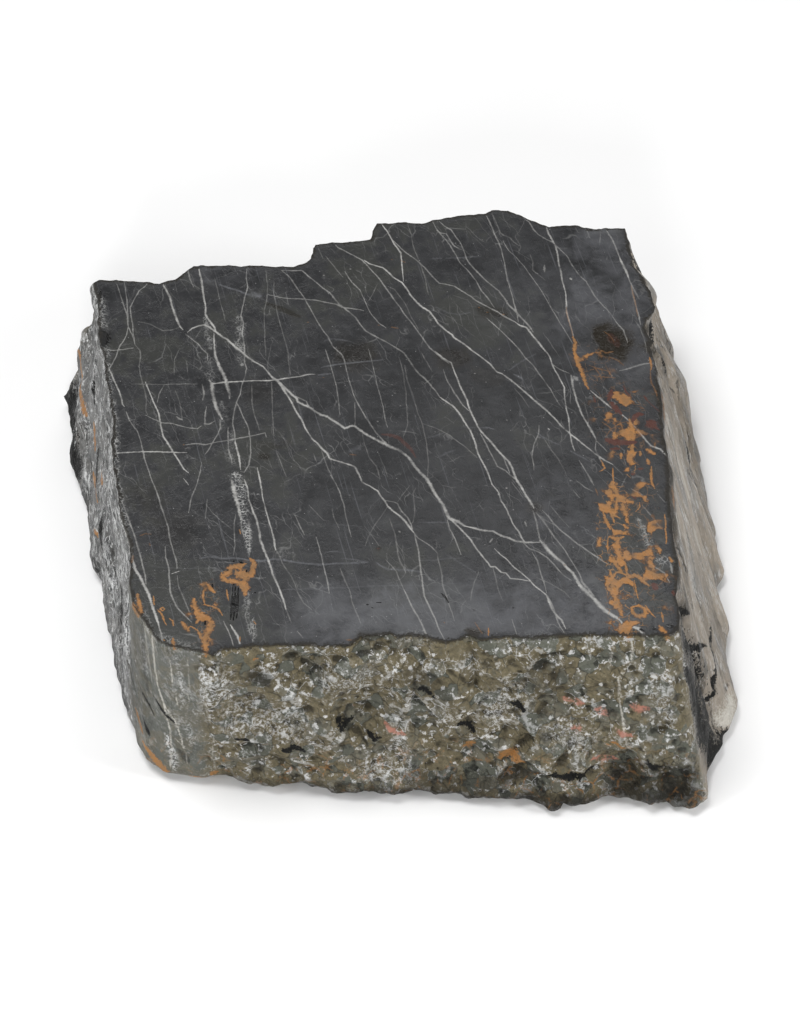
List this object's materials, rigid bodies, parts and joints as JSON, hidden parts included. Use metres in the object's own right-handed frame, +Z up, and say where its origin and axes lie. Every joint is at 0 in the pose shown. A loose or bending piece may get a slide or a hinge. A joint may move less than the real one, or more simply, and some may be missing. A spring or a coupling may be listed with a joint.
{
  "type": "marble block",
  "caption": "Rough marble block with one flat sawn top face, four split chipped sides and a flat underside that it rests on.",
  "frame": {"origin": "on the floor, under the middle of the block's bounding box", "axes": "+Z up, square to the sawn top; +X along the front face to the right; +Y from the front face to the back"},
  "size_m": [0.6195, 0.583, 0.17],
  "materials": {
    "marble": "dark grey honed marble with white calcite veins and rust patches; split sides olive, grey and warm beige"
  },
  "bodies": {
    "root": {"marble_block": "marble"}
  },
  "joints": []
}
